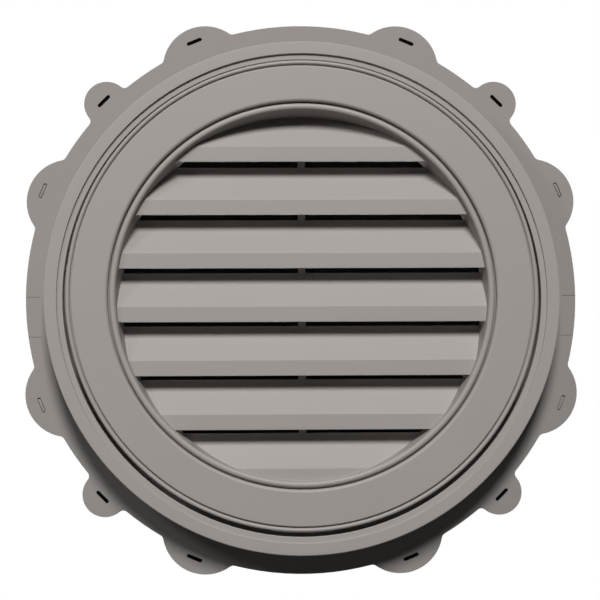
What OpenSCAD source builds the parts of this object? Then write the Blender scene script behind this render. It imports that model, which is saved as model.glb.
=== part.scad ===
// Round gable vent with a push-fit trim ring.
// A louvred moulding with a nailing flange stands on the wall sheathing, the siding is cut round it,
// and the trim ring slides over its side wall to cover the cut edge.
// Inside the modules x runs right, y runs up and z runs out of the wall.

/* [Trim ring] */
// Outer diameter of the trim ring, by which the vent is sold
ring_d = 558.8; // [540:0.2:580]
// Width of the raised band of the ring
band_w = 13.7; // [10:0.1:16]
// Width of the lowered lip between the band and the collar
lip_w = 6.4; // [5:0.1:9]
// How far the ring's band lies below the face
ring_inset = 1.7; // [0.5:0.1:3]
// Depth of the step from the band down to the lip
step_h = 2.8; // [2:0.1:5]
// Thickness of the ring's walls
ring_t = 2.2; // [1.8:0.1:2.6]
// Soft round on the ring's outer edge
band_round = 1.2; // [0.8:0.1:3]
// Round on the ring's smaller edges
edge_round = 0.8; // [0.4:0.1:1]
// Room for siding between the flange and the ring's skirt
siding_room = 19.05; // [12.7:0.05:20]
// Depth of the collar that guides the ring on the pads
collar_depth = 7; // [4:0.5:10]
// Play between the pads and the ring's collar, all round
ring_play = 2.1; // [1:0.1:2.5]
// Gap left over the top pad where the ring hangs down in that play
ring_rest = 0.2; // [0.1:0.1:0.8]

/* [Flange] */
// Width of the flange outside the side wall
flange_w = 47.3; // [42:0.1:54]
// Thickness of the flange
flange_t = 3; // [2:0.25:4]
// How far the diagonal lobes' centres lie outside the flange circle
small_lobe_out = 1.5; // [0:0.1:4]
// Radius of the diagonal lobes
small_lobe_r = 24.9; // [20:0.1:30]
// How far the other lobes' centres lie inside the flange circle
large_lobe_in = 26; // [22:0.5:30]
// Radius of the other lobes
large_lobe_r = 47; // [40:0.5:52]
// Fillet where a lobe runs into the flange circle
lobe_fillet = 6; // [3:0.5:10]
// How far the nail slots lie outside the flange circle
slot_out = 5.7; // [3:0.1:8]
// Length of a nail slot
slot_len = 17.6; // [12:0.1:22]
// Width of a nail slot
slot_w = 3.9; // [2.5:0.1:4.5]
// Floor left under the four knock-out slots
knockout_t = 1; // [0.5:0.1:2]
// Length of the centre marks
mark_len = 15; // [8:0.5:20]
// Width of the centre marks
mark_w = 0.8; // [0.5:0.1:1.2]
// Depth of the centre marks
mark_depth = 0.5; // [0.2:0.1:0.8]
// Drop of the lower pair of marks below the centre line
mark_drop = 44; // [30:1:60]

/* [Body] */
// Thickness of the moulded walls
wall = 2.6; // [2:0.1:3.2]
// Width of the frame from the side wall to the louvred opening
frame_w = 54.1; // [50:0.1:60]
// Radius of the half-round bead at the outer rim
rim_bead_r = 2.3; // [1.8:0.1:2.8]
// Width of the groove between the outer bead and the face
rim_groove_w = 1.1; // [0.6:0.1:2]
// Depth of the grooves beside the beads
groove_depth = 3; // [2:0.1:4]
// Round on the outer edge of the face
face_edge_r = 1.5; // [0.8:0.1:2.5]
// Soft round on the inner edge of the face
face_roll_r = 3.5; // [2:0.5:6]
// Radius of the half-round bead round the opening
eye_bead_r = 3.7; // [2.5:0.1:4.5]
// How far the opening's bead lies below the face
eye_drop = 2.5; // [1:0.25:4]
// How much the opening's wall draws in from its bead to its rear
eye_taper = 4.2; // [2:0.1:8]
// Gap between the wall plane and the rear of the opening's wall
eye_back = 7; // [5:0.5:12]

/* [Pads] */
// Length of a locating pad along the side wall
pad_len = 65; // [40:1:90]
// How far a pad stands out of the side wall
pad_t = 1; // [0.8:0.1:2]
// How far the pads end below the front of the rim
pad_drop = 5; // [4:0.5:8]
// Pitch of the ratchet teeth on the pads
tooth_pitch = 3.175; // [2.5:0.025:4]
// Depth of the ratchet teeth
tooth_depth = 0.7; // [0.3:0.1:0.8]

/* [Louvres] */
// Distance from one slat to the next
slat_pitch = 58.5; // [54:0.1:62]
// Drop from the top of the opening to the top slat's crease
top_margin = 39.1; // [34:0.1:44]
// Height of a slat's upright nose
nose_h = 17; // [14:0.5:20]
// How far a slat leans back
slat_depth = 23; // [18:0.5:30]
// Straight open gap between a nose and the slat below it
slat_gap = 3.4; // [2:0.1:6]
// Height of the upright lip at the back of a slat
lip_h = 2.4; // [1.5:0.1:4]
// Thickness of a slat
slat_t = 2.4; // [1.8:0.1:3]
// How far the slats end in front of the rear of the opening's wall
back_room = 0.6; // [0.4:0.1:2]
// How far the noses lie behind the face
nose_inset = 11; // [10:0.5:14]
// Round on the crease of a slat
crease_r = 2; // [1:0.25:4]
// Width of the mullion behind the slats
mullion_w = 8; // [6:0.5:12]
// How far the mullion's front lies behind the front of the lips
mullion_inset = 0.4; // [0.2:0.1:1]

/* [Insect screen] */
// Thickness of the screen cloth
screen_t = 0.8; // [0.4:0.1:1.2]
// How far the screen's edge lies inside the ledge's edge
screen_inset = 1; // [0.5:0.1:2]
// Width of the ledge that the screen lies on
ledge_w = 10; // [8:0.5:14]
// Number of heat stakes
stakes = 16; // [8:1:24]
// Radius of a stake
stake_r = 1.5; // [1:0.1:2]
// Radius of a stake's melted head
stake_head_r = 3.2; // [2.5:0.1:4]
// Thickness of a stake's melted head
stake_head_t = 1.2; // [0.8:0.1:2]
// Play between a stake and its hole in the screen
stake_play = 0.2; // [0.1:0.05:0.4]

/* [Hidden] */
$fn = 96;
// Overrun that carries cuts past a face and sinks joined solids into each other
over = 1;
clay = [0.62, 0.59, 0.57];
charcoal = [0.16, 0.16, 0.17];

// Angles of the twelve lobes: the diagonals carry small lobes, their neighbours large ones
diagonals = [45, 135, 225, 315];
lobe_step = 22.5;
large_angles = [for (a = diagonals) for (s = [-1, 1]) a + s * lobe_step];
upright_angles = [for (a = large_angles) if (abs(sin(a)) > abs(cos(a))) a];
level_angles = [for (a = large_angles) if (abs(sin(a)) < abs(cos(a))) a];
open_slot_angles = concat(diagonals, upright_angles);

// Radii, from the ring's outer edge inwards
ring_r = ring_d / 2;
step_r = ring_r - band_w;
collar_r = step_r - lip_w;
pad_r = collar_r - ring_play;
wall_r = pad_r - pad_t;
rim_bead_at = wall_r - rim_bead_r;
face_outer_r = rim_bead_at - rim_bead_r - rim_groove_w;
eye_r = wall_r - frame_w;
eye_bead_at = eye_r + eye_bead_r;
face_inner_r = eye_bead_at + eye_bead_r + rim_groove_w + face_roll_r;
eye_back_r = eye_r - eye_taper;
ledge_r = eye_back_r + wall + ledge_w;
stake_at = eye_back_r + wall + ledge_w / 2;
screen_r = ledge_r - screen_inset;
flange_r = wall_r + flange_w;
small_lobe_at = flange_r + small_lobe_out;
large_lobe_at = flange_r - large_lobe_in;
slot_at = flange_r + slot_out;
ring_sag = ring_play - ring_rest;

// Heights above the wall plane
nose_front_h = eye_back + back_room + slat_t + slat_depth;
face_h = nose_front_h + nose_inset;
eye_bead_h = face_h - eye_drop - eye_bead_r;
pad_top_h = face_h - pad_drop;
band_h = face_h - ring_inset;
lip_front_h = band_h - step_h;
skirt_back_h = flange_t + siding_room;

top_crease = eye_r - top_margin;
slats = floor((eye_r + top_crease) / slat_pitch) + 1;
slope_rise = slat_pitch - nose_h - slat_gap - lip_h;
pad_angle = pad_len / wall_r * 180 / PI;

// Points along an arc from angle a0 to angle a1
function arc(at, r, a0, a1, n = 6) = [for (i = [0 : n]) at + r * [cos(a0 + (a1 - a0) * i / n), sin(a0 + (a1 - a0) * i / n)]];

// Lies a piece modelled on its back against the wall plane, facing forward
module on_wall() {
    rotate([90, 0, 0])
        children();
}

// One lobe of the flange with the two fillets that run it into the flange circle
module lobe(at, r) {
    fillet_x = ((flange_r + lobe_fillet) ^ 2 - (r + lobe_fillet) ^ 2 + at ^ 2) / (2 * at);
    fillet_y = sqrt((flange_r + lobe_fillet) ^ 2 - fillet_x ^ 2);
    cusp_x = (flange_r ^ 2 - r ^ 2 + at ^ 2) / (2 * at);
    cusp = [cusp_x, sqrt(flange_r ^ 2 - cusp_x ^ 2)];
    fillet_at = [fillet_x, fillet_y];
    on_circle = fillet_at * flange_r / (flange_r + lobe_fillet);
    on_lobe = [at, 0] + (fillet_at - [at, 0]) * r / (r + lobe_fillet);
    in_lobe = [at, 0] + (fillet_at - [at, 0]) * (r - over) / (r + lobe_fillet);
    sunk = 1 - over / flange_r;
    translate([at, 0, 0])
        cylinder(r = r, h = flange_t);
    for (side = [0, 1])
        mirror([0, side, 0])
            difference() {
                linear_extrude(flange_t)
                    polygon([on_circle, fillet_at, on_lobe, in_lobe, cusp * sunk, on_circle * sunk]);
                translate([fillet_x, fillet_y, -over])
                    cylinder(r = lobe_fillet, h = flange_t + 2 * over);
            }
}

// Round-ended cutter for a nail slot that lies along the flange's edge
module nail_slot(floor_h) {
    end_y = (slot_len - slot_w) / 2;
    translate([slot_at, 0, floor_h]) {
        for (side = [-1, 1])
            translate([0, side * end_y, 0])
                cylinder(d = slot_w, h = flange_t + over, $fn = 32);
        translate([-slot_w / 2, -end_y, 0])
            cube([slot_w, 2 * end_y, flange_t + over]);
    }
}

// Short line cut across the flange's edge
module centre_mark(drop) {
    mark_x = sqrt(flange_r ^ 2 - drop ^ 2) - mark_len;
    translate([mark_x, -drop - mark_w / 2, flange_t - mark_depth])
        cube([mark_len + over, mark_w, mark_depth + over]);
}

module flange() {
    difference() {
        union() {
            cylinder(r = flange_r, h = flange_t);
            for (a = diagonals)
                rotate(a)
                    lobe(small_lobe_at, small_lobe_r);
            for (a = large_angles)
                rotate(a)
                    lobe(large_lobe_at, large_lobe_r);
        }
        translate([0, 0, -over])
            cylinder(r = wall_r - wall / 2, h = flange_t + 2 * over);
        for (a = open_slot_angles)
            rotate(a)
                nail_slot(-over / 2);
        for (a = level_angles)
            rotate(a)
                nail_slot(knockout_t);
        for (side = [0, 1], drop = [0, mark_drop])
            mirror([side, 0, 0])
                centre_mark(drop);
    }
}

// Side wall, beads, face, opening wall and screen ledge, in one turned section
module shell() {
    groove_h = face_h - groove_depth;
    eye_groove_h = eye_bead_h - groove_depth / 2;
    eye_groove_r = eye_bead_at + eye_bead_r + rim_groove_w;
    front = concat(
        [[wall_r, 0]],
        arc([rim_bead_at, face_h - rim_bead_r], rim_bead_r, 0, 180, 10),
        [[rim_bead_at - rim_bead_r, groove_h], [face_outer_r, groove_h]],
        arc([face_outer_r - face_edge_r, face_h - face_edge_r], face_edge_r, 0, 90),
        arc([face_inner_r, face_h - face_roll_r], face_roll_r, 90, 165, 8),
        [[eye_groove_r, eye_groove_h], [eye_bead_at + eye_bead_r, eye_groove_h]],
        arc([eye_bead_at, eye_bead_h], eye_bead_r, 0, 180, 10),
        [[eye_back_r, eye_back]]
    );
    back = [
        [ledge_r, eye_back],
        [ledge_r, eye_back + wall],
        [eye_back_r + wall, eye_back + wall],
        [eye_r + wall, eye_groove_h - wall],
        [eye_groove_r + wall, eye_groove_h - wall],
        [eye_groove_r + wall, face_h - wall],
        [face_outer_r - wall, face_h - wall],
        [face_outer_r - wall, groove_h - wall],
        [wall_r - wall, groove_h - wall],
        [wall_r - wall, 0]
    ];
    rotate_extrude($fn = 180)
        polygon(concat(front, back));
}

// Raised land on the side wall with ratchet teeth that face away from the wall plane
module pad() {
    teeth = floor((pad_top_h - flange_t) / tooth_pitch) - 1;
    tooth_points = [for (i = [0 : teeth - 1]) each [
        [pad_r, pad_top_h - tooth_depth - i * tooth_pitch],
        [pad_r - tooth_depth, pad_top_h - tooth_depth - (i + 1) * tooth_pitch]
    ]];
    rotate(-pad_angle / 2)
        rotate_extrude(angle = pad_angle, $fn = 180)
            polygon(concat(
                [[wall_r - over, flange_t / 2], [wall_r - over, pad_top_h], [pad_r - tooth_depth, pad_top_h]],
                tooth_points,
                [[pad_r - tooth_depth, flange_t / 2]]
            ));
}

// Section of one slat as [height, depth] points: upright nose, leaning blade and upright lip
function slat_section(rise) =
    let (
        lean = atan2(slat_depth, slope_rise),
        back_h = nose_front_h - tan(lean) * rise,
        miter = slat_t * tan(lean / 2),
        crease_at = [-crease_r * tan(lean / 2), nose_front_h - crease_r]
    ) concat(
        [[-nose_h, nose_front_h]],
        arc(crease_at, crease_r, 90, 90 - lean, 4),
        [[rise, back_h], [rise + lip_h, back_h], [rise + lip_h, back_h - slat_t], [rise - miter, back_h - slat_t]],
        [[-miter, nose_front_h - slat_t], [-nose_h, nose_front_h - slat_t]]
    );

// All slats, trimmed to the round opening; the top one leans on until it meets the opening's wall
module louvres() {
    eye_h = eye_bead_h - eye_back;
    intersection() {
        for (i = [0 : slats - 1])
            translate([0, top_crease - i * slat_pitch, 0])
                rotate([90, 0, 90])
                    linear_extrude(2 * (eye_r + wall), center = true)
                        polygon(slat_section(i == 0 ? top_margin : slope_rise));
        translate([0, 0, eye_back + back_room / 2])
            cylinder(r1 = eye_back_r + wall / 2, r2 = eye_r + wall / 2, h = eye_h, $fn = 180);
    }
}

// Upright bar that ties the slats together at the back
module mullion() {
    mullion_depth = back_room + slat_t - mullion_inset;
    intersection() {
        translate([-mullion_w / 2, -eye_r, eye_back])
            cube([mullion_w, 2 * eye_r, mullion_depth]);
        translate([0, 0, eye_back - over])
            cylinder(r = eye_back_r + over, h = mullion_depth + 2 * over, $fn = 180);
    }
}

// Pins on the ledge with heads melted over the screen cloth
module heat_stakes() {
    head_h = eye_back - screen_t - stake_head_t;
    for (i = [0 : stakes - 1])
        rotate((i + 0.5) * 360 / stakes)
            translate([stake_at, 0, 0]) {
                translate([0, 0, head_h])
                    cylinder(r = stake_head_r, h = stake_head_t, $fn = 32);
                translate([0, 0, head_h + stake_head_t / 2])
                    cylinder(r = stake_r, h = screen_t + stake_head_t, $fn = 32);
            }
}

module vent_body() {
    color(clay)
        on_wall()
            union() {
                flange();
                shell();
                for (a = [0 : 90 : 270])
                    rotate(a)
                        pad();
                louvres();
                mullion();
                heat_stakes();
            }
}

// Turned channel: raised band and skirt outside, lowered lip and guiding collar inside
module trim_ring() {
    front = concat(
        [[collar_r, lip_front_h - collar_depth]],
        arc([collar_r + edge_round, lip_front_h - edge_round], edge_round, 180, 90, 3),
        [[step_r, lip_front_h]],
        arc([step_r + edge_round, band_h - edge_round], edge_round, 180, 90, 3),
        arc([ring_r - band_round, band_h - band_round], band_round, 90, 0),
        [[ring_r, skirt_back_h]]
    );
    back = [
        [ring_r - ring_t, skirt_back_h],
        [ring_r - ring_t, band_h - ring_t],
        [step_r + ring_t, band_h - ring_t],
        [step_r + ring_t, lip_front_h - ring_t],
        [collar_r + ring_t, lip_front_h - ring_t],
        [collar_r + ring_t, lip_front_h - collar_depth]
    ];
    color(clay)
        on_wall()
            translate([0, -ring_sag, 0])
                rotate_extrude($fn = 180)
                    polygon(concat(front, back));
}

module insect_screen() {
    color(charcoal)
        on_wall()
            translate([0, 0, eye_back - screen_t])
                difference() {
                    cylinder(r = screen_r, h = screen_t, $fn = 180);
                    for (i = [0 : stakes - 1])
                        rotate((i + 0.5) * 360 / stakes)
                            translate([stake_at, 0, -over])
                                cylinder(r = stake_r + stake_play, h = screen_t + 2 * over, $fn = 32);
                }
}

vent_body();
trim_ring();
insect_screen();
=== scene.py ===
# %% [markdown]
# A round gable vent, dressed in Blender.
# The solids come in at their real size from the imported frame: the louvred body with its nailing flange,
# the trim ring that slides on it and the insect screen. This lesson softens the moulded edges, sets slugs in
# the knock-out slots, gives each piece its finish, weaves the screen and lights the vent as a studio would.

# %% Load the frame
import math

import bpy
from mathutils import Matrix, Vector


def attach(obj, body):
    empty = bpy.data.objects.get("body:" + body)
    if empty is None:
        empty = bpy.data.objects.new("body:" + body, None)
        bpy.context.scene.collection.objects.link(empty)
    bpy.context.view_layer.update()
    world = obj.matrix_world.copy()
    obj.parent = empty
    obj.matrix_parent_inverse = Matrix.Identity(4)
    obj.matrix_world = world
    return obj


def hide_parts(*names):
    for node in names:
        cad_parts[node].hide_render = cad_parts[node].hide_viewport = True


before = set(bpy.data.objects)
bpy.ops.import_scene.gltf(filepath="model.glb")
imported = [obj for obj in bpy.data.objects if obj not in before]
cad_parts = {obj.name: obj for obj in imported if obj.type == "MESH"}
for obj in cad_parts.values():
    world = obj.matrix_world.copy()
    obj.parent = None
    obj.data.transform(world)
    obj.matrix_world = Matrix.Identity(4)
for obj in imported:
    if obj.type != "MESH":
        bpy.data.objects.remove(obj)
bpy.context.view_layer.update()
MM = 0.001
print("nodes:", sorted(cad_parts))


# %% [markdown]
# Moulded plastic has no knife edges: every corner of the tool leaves a small round, and those rounds catch
# the light as thin bright lines. A solid from CAD arrives as loose triangles with sharp corners. So each
# moulded piece is copied, its triangles are welded, those that lie in one plane are joined, and a small
# bevel is run along the sharp edges. Faces of many sides are split again, this time evenly, so that no
# sliver is left. Weighted normals then keep the broad faces level, so that only the rounds turn the light.
# The copy stands for the solid, which goes on serving for collision, hidden.

# %% Helpers to select and to soften a moulding
WELD = 0.02 * MM
FLAT_WITHIN = math.radians(0.3)
SHARP_FROM = math.radians(40)
SMOOTH_UP_TO = math.radians(32)


def deselect_all():
    if bpy.context.object and bpy.context.object.mode != "OBJECT":
        bpy.ops.object.mode_set(mode="OBJECT")
    bpy.ops.object.select_all(action="DESELECT")


def make_active(piece):
    deselect_all()
    piece.select_set(True)
    bpy.context.view_layer.objects.active = piece


def soft_copy(node_name, piece_name, body, edge_round):
    """Copies a moulded solid, welds it and rounds its sharp edges."""
    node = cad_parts[node_name]
    piece = bpy.data.objects.new(piece_name, node.data.copy())
    bpy.context.collection.objects.link(piece)
    make_active(piece)
    bpy.ops.object.mode_set(mode="EDIT")
    bpy.ops.mesh.select_all(action="SELECT")
    bpy.ops.mesh.remove_doubles(threshold=WELD)
    bpy.ops.mesh.customdata_custom_splitnormals_clear()
    bpy.ops.mesh.dissolve_limited(angle_limit=FLAT_WITHIN)
    bpy.ops.mesh.select_all(action="SELECT")
    bpy.ops.mesh.dissolve_degenerate(threshold=WELD)
    bpy.ops.object.mode_set(mode="OBJECT")
    bevel = piece.modifiers.new("edge round", "BEVEL")
    bevel.width = edge_round
    bevel.segments = 2
    bevel.limit_method = "ANGLE"
    bevel.angle_limit = SHARP_FROM
    bevel.use_clamp_overlap = False
    bpy.ops.object.modifier_apply(modifier=bevel.name)
    bpy.ops.object.mode_set(mode="EDIT")
    bpy.ops.mesh.select_face_by_sides(number=4, type="GREATER", extend=False)
    bpy.ops.mesh.quads_convert_to_tris(quad_method="BEAUTY", ngon_method="BEAUTY")
    bpy.ops.object.mode_set(mode="OBJECT")
    bpy.ops.object.shade_smooth_by_angle(angle=SMOOTH_UP_TO)
    level = piece.modifiers.new("level flats", "WEIGHTED_NORMAL")
    level.weight = 100
    level.keep_sharp = True
    bpy.ops.object.modifier_apply(modifier=level.name)
    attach(piece, body)
    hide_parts(node_name)
    print(piece_name, "has", len(piece.data.polygons), "faces")
    return piece


# %% Soften the body and the trim ring
BODY_ROUND = 0.35 * MM
RING_ROUND = 0.4 * MM
vent_moulding = soft_copy("vent_body", "vent_moulding", "vent_body", BODY_ROUND)
ring_moulding = soft_copy("trim_ring", "ring_moulding", "trim_ring", RING_ROUND)


# %% [markdown]
# Four of the twelve nail slots are knock-outs, closed until they are needed. In each recess stands a slug
# that a thin web holds at its foot, and the narrow groove round it shows as a dark outline. A slug is a box
# whose upright edges are rounded until its ends are half round, with an eased rim. It is modelled once, at
# the right of the flange, then copied and turned to its four places, and the copies are joined.

# %% Helpers to pick, settle and join
def pick(piece, kind, wanted):
    """Selects the edges or the faces of a piece that pass a test, and leaves it in edit mode."""
    make_active(piece)
    bpy.ops.object.mode_set(mode="EDIT")
    bpy.ops.mesh.select_mode(type=kind)
    bpy.ops.mesh.select_all(action="DESELECT")
    bpy.ops.object.mode_set(mode="OBJECT")
    parts = piece.data.edges if kind == "EDGE" else piece.data.polygons
    for part in parts:
        part.select = wanted(part)
    bpy.ops.object.mode_set(mode="EDIT")


def settle():
    """Writes the place, turn and scale of the selected piece into its mesh."""
    bpy.ops.object.transform_apply(location=True, rotation=True, scale=True)


def join_as(name, pieces):
    """Joins pieces into the first of them and names the result."""
    make_active(pieces[0])
    for piece in pieces:
        piece.select_set(True)
    bpy.ops.object.join()
    joined = bpy.context.object
    joined.name = name
    return joined


# %% Slugs in the knock-outs
SLOT_R = 309.2 * MM
KNOCKOUTS = (22.5, 157.5, 202.5, 337.5)
SLUG_W = 2.3 * MM
SLUG_LEN = 15.0 * MM
SLUG_END = 0.49 * SLUG_W
SLUG_RIM = 0.25 * MM
SLUG_TOP_Y = -2.7 * MM
SLUG_FOOT_Y = -0.7 * MM
FRONT_NORMAL_Y = -0.9


def slug_blank():
    """Makes one slug at the angle zero: a box with half round ends and an eased front rim."""
    deselect_all()
    bpy.ops.mesh.primitive_cube_add(size=1, location=(SLOT_R, (SLUG_TOP_Y + SLUG_FOOT_Y) / 2, 0))
    blank = bpy.context.object
    blank.scale = (SLUG_W, SLUG_FOOT_Y - SLUG_TOP_Y, SLUG_LEN)
    settle()

    def is_upright(edge):
        first, last = (blank.data.vertices[index].co for index in edge.vertices)
        return abs(first.y - last.y) > SLUG_RIM

    def is_front(face):
        return face.normal.y < FRONT_NORMAL_Y

    pick(blank, "EDGE", is_upright)
    bpy.ops.mesh.bevel(offset=SLUG_END, segments=6, affect="EDGES")
    pick(blank, "FACE", is_front)
    bpy.ops.mesh.region_to_loop()
    bpy.ops.mesh.bevel(offset=SLUG_RIM, segments=2, affect="EDGES")
    bpy.ops.object.mode_set(mode="OBJECT")
    bpy.ops.object.shade_smooth_by_angle(angle=SMOOTH_UP_TO)
    return blank


blank = slug_blank()
slugs = []
for angle in KNOCKOUTS:
    make_active(blank)
    bpy.ops.object.duplicate()
    slug = bpy.context.object
    slug.rotation_euler = (0, -math.radians(angle), 0)
    settle()
    slugs.append(slug)
bpy.data.objects.remove(blank)
knockout_slugs = join_as("knockout_slugs", slugs)
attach(knockout_slugs, "vent_body")
print(len(slugs), "slugs have", len(knockout_slugs.data.polygons), "faces")


# %% [markdown]
# The vent is moulded in a warm grey plastic with a satin skin. Close up the skin has a very fine grain, left
# by the etched tool, and the colour drifts a little where the melt cooled at different speeds. Both effects
# are used on the body and on the ring, so they are built once as a node group that puts out a colour, a
# height and a roughness, and each material sets its own strengths. The group can also make everything beyond
# a given radius darker and rougher, with a soft start that the ring covers. On the body that radius takes in
# the flange, which siding will cover.

# %% Helpers to add nodes
def feed(tree, value, socket):
    """Links a socket to another node's output, or sets it to a number."""
    if isinstance(value, bpy.types.NodeSocket):
        tree.links.new(value, socket)
    else:
        socket.default_value = value


def add_math(tree, operation, *values):
    """Adds one step of arithmetic on numbers and outputs."""
    node = tree.nodes.new("ShaderNodeMath")
    node.operation = operation
    for value, socket in zip(values, node.inputs):
        feed(tree, value, socket)
    return node.outputs["Value"]


def add_range(tree, value, low, high, full=1.0):
    """Maps a value that runs from 0 to full onto the range from low to high."""
    node = tree.nodes.new("ShaderNodeMapRange")
    node.inputs["From Max"].default_value = full
    node.inputs["To Min"].default_value = low
    node.inputs["To Max"].default_value = high
    tree.links.new(value, node.inputs["Value"])
    return node.outputs["Result"]


def add_noise(tree, scale, detail):
    """Adds cloudy noise on Object coordinates."""
    place = tree.nodes.new("ShaderNodeTexCoord")
    noise = tree.nodes.new("ShaderNodeTexNoise")
    noise.inputs["Detail"].default_value = detail
    feed(tree, scale, noise.inputs["Scale"])
    tree.links.new(place.outputs["Object"], noise.inputs["Vector"])
    return noise.outputs["Fac"]


def add_radius(tree):
    """Adds the distance from the vent's axis."""
    place = tree.nodes.new("ShaderNodeTexCoord")
    flat = tree.nodes.new("ShaderNodeVectorMath")
    flat.operation = "MULTIPLY"
    flat.inputs[1].default_value = (1, 0, 1)
    tree.links.new(place.outputs["Object"], flat.inputs[0])
    radius = tree.nodes.new("ShaderNodeVectorMath")
    radius.operation = "LENGTH"
    tree.links.new(flat.outputs["Vector"], radius.inputs[0])
    return radius.outputs["Value"]


# %% Node group for the moulded skin
DRIFT_SCALE = 9.0
DRIFT_DETAIL = 3.0
GRAIN_DETAIL = 2.0
SKIN_ROUGHNESS = (0.44, 0.58)
DARKENING_WIDTH = 16 * MM
DARKER_SHADE = 0.83
DULLED_ROUGHER = 0.15


def new_group(name, inputs, outputs):
    group = bpy.data.node_groups.new(name, "ShaderNodeTree")
    for in_out, sockets in (("INPUT", inputs), ("OUTPUT", outputs)):
        for socket_name, socket_type in sockets:
            group.interface.new_socket(socket_name, in_out=in_out, socket_type=socket_type)
    return group, group.nodes.new("NodeGroupInput"), group.nodes.new("NodeGroupOutput")


def moulded_skin_group():
    group, given, result = new_group(
        "moulded_skin",
        [("Colour", "NodeSocketColor"), ("Drift", "NodeSocketFloat"),
         ("Grain scale", "NodeSocketFloat"), ("Darker beyond", "NodeSocketFloat")],
        [("Colour", "NodeSocketColor"), ("Grain", "NodeSocketFloat"), ("Roughness", "NodeSocketFloat")])
    swing = add_range(group, add_noise(group, DRIFT_SCALE, DRIFT_DETAIL), -1.0, 1.0)
    amount = add_math(group, "MULTIPLY_ADD", swing, given.outputs["Drift"], 1.0)
    # Beyond the given radius the colour is made darker and the skin rougher.
    beyond = add_math(group, "SUBTRACT", add_radius(group), given.outputs["Darker beyond"])
    outside = add_range(group, beyond, 0.0, 1.0, full=DARKENING_WIDTH)
    shade = add_math(group, "MULTIPLY", amount, add_range(group, outside, 1.0, DARKER_SHADE))
    tint = group.nodes.new("ShaderNodeVectorMath")
    tint.operation = "SCALE"
    group.links.new(given.outputs["Colour"], tint.inputs[0])
    group.links.new(shade, tint.inputs["Scale"])
    group.links.new(tint.outputs["Vector"], result.inputs["Colour"])
    grain = add_noise(group, given.outputs["Grain scale"], GRAIN_DETAIL)
    group.links.new(grain, result.inputs["Grain"])
    satin = add_range(group, grain, *SKIN_ROUGHNESS)
    rougher = add_math(group, "MULTIPLY_ADD", outside, DULLED_ROUGHER, satin)
    group.links.new(rougher, result.inputs["Roughness"])
    return group


moulded_skin = moulded_skin_group()
print("group", moulded_skin.name, "has", len(moulded_skin.nodes), "nodes")


# %% Moulded plastic for the body and the ring
CLAY = (0.335, 0.308, 0.290, 1)
COLOUR_DRIFT = 0.03
GRAIN_SCALE = 1100.0
GRAIN_HEIGHT = 0.05 * MM
GRAIN_STRENGTH = 0.25
SATIN_SPECULAR = 0.4
# The body's colour is made darker from this radius out, over the flange.
FLANGE_FROM_R = 259 * MM
NOWHERE_R = 10.0


def new_material(name):
    material = bpy.data.materials.new(name)
    material.use_nodes = True
    tree = material.node_tree
    return material, tree, tree.nodes["Principled BSDF"]


def moulded_plastic(name, darker_beyond):
    material, tree, shader = new_material(name)
    skin = tree.nodes.new("ShaderNodeGroup")
    skin.node_tree = moulded_skin
    skin.inputs["Colour"].default_value = CLAY
    skin.inputs["Drift"].default_value = COLOUR_DRIFT
    skin.inputs["Grain scale"].default_value = GRAIN_SCALE
    skin.inputs["Darker beyond"].default_value = darker_beyond
    tree.links.new(skin.outputs["Colour"], shader.inputs["Base Color"])
    tree.links.new(skin.outputs["Roughness"], shader.inputs["Roughness"])
    bump = tree.nodes.new("ShaderNodeBump")
    bump.inputs["Strength"].default_value = GRAIN_STRENGTH
    bump.inputs["Distance"].default_value = GRAIN_HEIGHT
    tree.links.new(skin.outputs["Grain"], bump.inputs["Height"])
    tree.links.new(bump.outputs["Normal"], shader.inputs["Normal"])
    shader.inputs["Specular IOR Level"].default_value = SATIN_SPECULAR
    material.diffuse_color = CLAY
    return material


def dress(piece, material):
    piece.data.materials.clear()
    piece.data.materials.append(material)
    print(piece.name, "wears", material.name)


body_plastic = moulded_plastic("clay_body_plastic", FLANGE_FROM_R)
ring_plastic = moulded_plastic("clay_ring_plastic", NOWHERE_R)
dress(vent_moulding, body_plastic)
dress(ring_moulding, ring_plastic)
dress(knockout_slugs, body_plastic)


# %% [markdown]
# The insect screen is black fibreglass cloth, woven of coated threads. Seen from the front only slivers of
# it show between the slats, and from behind the slats show through it. One thread is a thin bar; an array
# lays it side by side across the disc, and an intersection with a round cutter trims the cloth to size. The
# second layer is the same work with the bar turned upright. The coating is dull black with a trace of dust.

# %% Weave the screen
THREAD_PITCH = 1.6 * MM
THREAD_W = 0.35 * MM
THREAD_T = 0.4 * MM

screen_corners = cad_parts["insect_screen"].bound_box
SCREEN_FRONT = min(corner[1] for corner in screen_corners)
SCREEN_R = max(corner[0] for corner in screen_corners)
THREAD_LEN = 2.2 * SCREEN_R
THREAD_COUNT = int(2 * SCREEN_R / THREAD_PITCH)
FIRST_THREAD = -THREAD_PITCH * (THREAD_COUNT - 1) / 2
CUTTER_SIDES = 180
CUTTER_DEPTH = 4 * THREAD_T


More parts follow.
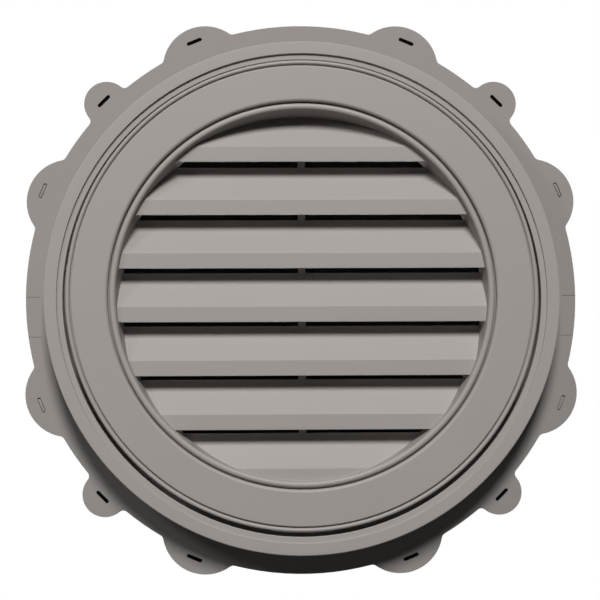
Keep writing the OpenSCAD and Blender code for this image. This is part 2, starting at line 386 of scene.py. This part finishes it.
def thread_layer(name, middle_y, upright):
    """Lays threads side by side and cuts them to the round of the screen."""
    if upright:
        place, step = (FIRST_THREAD, middle_y, 0), (THREAD_PITCH, 0, 0)
        size = (THREAD_W, THREAD_T, THREAD_LEN)
    else:
        place, step = (0, middle_y, FIRST_THREAD), (0, 0, THREAD_PITCH)
        size = (THREAD_LEN, THREAD_T, THREAD_W)
    deselect_all()
    bpy.ops.mesh.primitive_cube_add(size=1, location=place)
    layer = bpy.context.object
    layer.name = name
    layer.scale = size
    settle()
    rows = layer.modifiers.new("rows", "ARRAY")
    rows.count = THREAD_COUNT
    rows.use_relative_offset = False
    rows.use_constant_offset = True
    rows.constant_offset_displace = step
    bpy.ops.object.modifier_apply(modifier=rows.name)
    bpy.ops.mesh.primitive_cylinder_add(vertices=CUTTER_SIDES, radius=SCREEN_R, depth=CUTTER_DEPTH,
                                        location=(0, middle_y, 0), rotation=(math.pi / 2, 0, 0))
    cutter = bpy.context.object
    make_active(layer)
    trim = layer.modifiers.new("round trim", "BOOLEAN")
    trim.operation = "INTERSECT"
    trim.solver = "EXACT"
    trim.object = cutter
    bpy.ops.object.modifier_apply(modifier=trim.name)
    bpy.data.objects.remove(cutter)
    print(name, "has", THREAD_COUNT, "threads and", len(layer.data.polygons), "faces")
    return layer


across = thread_layer("threads_across", SCREEN_FRONT + THREAD_T / 2, False)
upright = thread_layer("threads_upright", SCREEN_FRONT + THREAD_T * 3 / 2, True)
screen_weave = join_as("screen_weave", [across, upright])
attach(screen_weave, "vent_body")
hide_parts("insect_screen")


# %% Dark coating of the threads
DUST_SCALE = 40.0
DUST_DETAIL = 2.0
THREAD_BLACK = (0.007, 0.007, 0.008, 1)
THREAD_DUSTY = (0.015, 0.015, 0.016, 1)
THREAD_ROUGHNESS = 0.9
THREAD_SPECULAR = 0.05


def screen_cloth():
    material, tree, shader = new_material("charcoal_screen_cloth")
    shade = tree.nodes.new("ShaderNodeValToRGB")
    shade.color_ramp.elements[0].color = THREAD_BLACK
    shade.color_ramp.elements[1].color = THREAD_DUSTY
    tree.links.new(add_noise(tree, DUST_SCALE, DUST_DETAIL), shade.inputs["Fac"])
    tree.links.new(shade.outputs["Color"], shader.inputs["Base Color"])
    shader.inputs["Roughness"].default_value = THREAD_ROUGHNESS
    shader.inputs["Specular IOR Level"].default_value = THREAD_SPECULAR
    return material


dress(screen_weave, screen_cloth())


# %% [markdown]
# The photograph was taken from a little below the middle of the vent and slightly to its left, with a long
# lens. The distance follows from how much the lower lobes outgrow the upper ones, and the lens from the size
# of the vent in the frame.

# %% Camera
CAMERA_DISTANCE = 1.910
CAMERA_BELOW = math.radians(4.48)
CAMERA_LEFT = math.radians(1.5)
CAMERA_ROLL = math.radians(0.30)
AIM = Vector((-0.0018, 0, -0.0034))
LENS_MM = 103.6
SENSOR_MM = 36.0

camera_data = bpy.data.cameras.new("photo_camera")
camera_data.lens = LENS_MM
camera_data.sensor_width = SENSOR_MM
camera = bpy.data.objects.new("photo_camera", camera_data)
bpy.context.collection.objects.link(camera)
outward = Vector((-math.sin(CAMERA_LEFT) * math.cos(CAMERA_BELOW),
                  -math.cos(CAMERA_LEFT) * math.cos(CAMERA_BELOW),
                  -math.sin(CAMERA_BELOW)))
camera.location = outward * CAMERA_DISTANCE
camera.rotation_euler = (AIM - camera.location).to_track_quat("-Z", "Y").to_euler()
camera.rotation_euler.rotate_axis("Z", -CAMERA_ROLL)
bpy.context.scene.camera = camera
print("camera at", tuple(round(c, 3) for c in camera.location))


# %% [markdown]
# Studio light: one soft box high in front makes the shadow under each nose and under the ring. A weaker one
# from the upper left lifts the shadow on the lower left of the flange, and a very weak fill from the front
# keeps the deepest shadow readable. A box behind lights the rear for views from there, and a weak box at
# each side shows the edges of the ring and the flange. Each box looks at the middle of the vent.

# %% Lights
# Each row is a name, a place in metres, a width, a height and a power in watts.
SOFT_BOXES = (
    ("key_box", (0, -7.2, 5.71), 2.6, 2.7, 860.0),
    ("left_fill", (-1.9, -2.0, 1.35), 0.6, 0.6, 14.0),
    ("front_fill", (-0.4, -2.6, -0.4), 1.2, 1.2, 0.5),
    ("rear_box", (0, 3.4, -0.15), 0.9, 0.9, 80.0),
    ("left_box", (-3.2, 0.5, 0.3), 1.2, 1.2, 30.0),
    ("right_box", (3.2, 0.5, 0.3), 1.2, 1.2, 30.0),
)


def soft_box(name, place, width, height, watts):
    data = bpy.data.lights.new(name, "AREA")
    data.shape = "RECTANGLE"
    data.size = width
    data.size_y = height
    data.energy = watts
    lamp = bpy.data.objects.new(name, data)
    bpy.context.collection.objects.link(lamp)
    lamp.location = place
    lamp.rotation_euler = (-Vector(place)).to_track_quat("-Z", "Y").to_euler()


for row in SOFT_BOXES:
    soft_box(*row)
print(len(SOFT_BOXES), "soft boxes set")


# %% [markdown]
# Behind a gable vent lies the dark roof space, which is why its gaps and nail slots look black. Black cards
# of painted shade stand in for that darkness. A round card just behind the flange covers the louvred
# opening, and a strip sits in each open nail slot. All show to the camera from their front side alone, so
# that the back of the vent can still be seen. The round card lets the rear light through to the slats, and
# the strips stop it.

# %% Painted shade for the cards
# Black of the painted shade that fills the dark openings.
PAINTED_SHADE_BLACK = (0.004, 0.004, 0.004, 1)


def show_mix(tree, share, first, second):
    """Mixes two shaders by a share and makes the mix the surface."""
    mix = tree.nodes.new("ShaderNodeMixShader")
    tree.links.new(share, mix.inputs["Fac"])
    tree.links.new(first, mix.inputs[1])
    tree.links.new(second, mix.inputs[2])
    tree.links.new(mix.outputs["Shader"], tree.nodes["Material Output"].inputs["Surface"])


def painted_shade_card(name, stops_light):
    """Painted shade: black from the front and clear to a camera behind; for other rays it is dark or clear,
    as asked.
    """
    material, tree, shader = new_material(name)
    shader.inputs["Base Color"].default_value = PAINTED_SHADE_BLACK
    shader.inputs["Roughness"].default_value = 1.0
    shader.inputs["Specular IOR Level"].default_value = 0.0
    clear = tree.nodes.new("ShaderNodeBsdfTransparent")
    side = tree.nodes.new("ShaderNodeNewGeometry")
    to_camera = tree.nodes.new("ShaderNodeLightPath").outputs["Is Camera Ray"]
    from_behind = add_math(tree, "MULTIPLY", to_camera, side.outputs["Backfacing"])
    shown = add_math(tree, "SUBTRACT", 1.0 if stops_light else to_camera, from_behind)
    show_mix(tree, shown, clear.outputs["BSDF"], shader.outputs["BSDF"])
    return material


# %% Cards of painted shade in the openings
CARD_R = 0.24
CARD_Y = 1.0 * MM
SLOT_LEN = 17.6 * MM
SLOT_W = 3.9 * MM
SLOT_Y = -1.0 * MM
OPEN_SLOTS = (45, 67.5, 112.5, 135, 225, 247.5, 292.5, 315)
OVERLAP = 1.1


def stand_card(card, name, material):
    card.name = name
    card.data.materials.append(material)
    settle()


# A round card of painted shade behind the louvred opening.
deselect_all()
bpy.ops.mesh.primitive_circle_add(vertices=48, radius=CARD_R, fill_type="NGON",
                                  location=(0, CARD_Y, 0), rotation=(math.pi / 2, 0, 0))
stand_card(bpy.context.object, "roof_shade_card", painted_shade_card("painted_shade_card", False))

# Strips of painted shade in the open nail slots; they also stop the light.
slot_shade = painted_shade_card("painted_shade_strip", True)
for number, angle in enumerate(OPEN_SLOTS):
    turn = math.radians(angle)
    deselect_all()
    bpy.ops.mesh.primitive_plane_add(size=1, rotation=(math.pi / 2, -turn, 0),
                                     location=(SLOT_R * math.cos(turn), SLOT_Y, SLOT_R * math.sin(turn)))
    bpy.context.object.scale = (OVERLAP * SLOT_W, OVERLAP * SLOT_LEN, 1)
    stand_card(bpy.context.object, f"slot_shade_card_{number}", slot_shade)
print("cards behind the louvres and in", len(OPEN_SLOTS), "slots")


# %% [markdown]
# The vent hangs free over white paper and before a white backdrop. Real paper so near would flood the
# shadows with light. So the floor glows white only to the camera and in reflections, and the backdrop only
# to the camera and through clear matter. For all other rays both are nearly dark.

# %% White floor and backdrop
FLOOR_SIZE = 8
FLOOR_Z = -2.0
PAPER_DARK = (0.04, 0.04, 0.04, 1)
PAPER_ROUGHNESS = 0.9
WHITE = (1, 1, 1, 1)
BACKDROP_DARK = 0.004


def paper_white():
    material, tree, shader = new_material("white_paper")
    shader.inputs["Base Color"].default_value = PAPER_DARK
    shader.inputs["Roughness"].default_value = PAPER_ROUGHNESS
    glow = tree.nodes.new("ShaderNodeEmission")
    ray = tree.nodes.new("ShaderNodeLightPath")
    seen = add_math(tree, "MAXIMUM", ray.outputs["Is Camera Ray"], ray.outputs["Is Glossy Ray"])
    show_mix(tree, seen, shader.outputs["BSDF"], glow.outputs["Emission"])
    return material


def studio_world():
    world = bpy.data.worlds.new("studio")
    bpy.context.scene.world = world
    world.use_nodes = True
    tree = world.node_tree
    back = tree.nodes["Background"]
    back.inputs["Color"].default_value = WHITE
    ray = tree.nodes.new("ShaderNodeLightPath")
    seen = add_math(tree, "MAXIMUM", ray.outputs["Is Camera Ray"], ray.outputs["Is Transmission Ray"])
    tree.links.new(add_range(tree, seen, BACKDROP_DARK, 1.0), back.inputs["Strength"])


deselect_all()
bpy.ops.mesh.primitive_plane_add(size=FLOOR_SIZE, location=(0, 0, FLOOR_Z))
floor = bpy.context.object
floor.name = "studio_floor"
floor.data.materials.append(paper_white())
studio_world()
bpy.context.scene.view_settings.view_transform = "Standard"
print("floor laid at", FLOOR_Z, "m and backdrop hung")
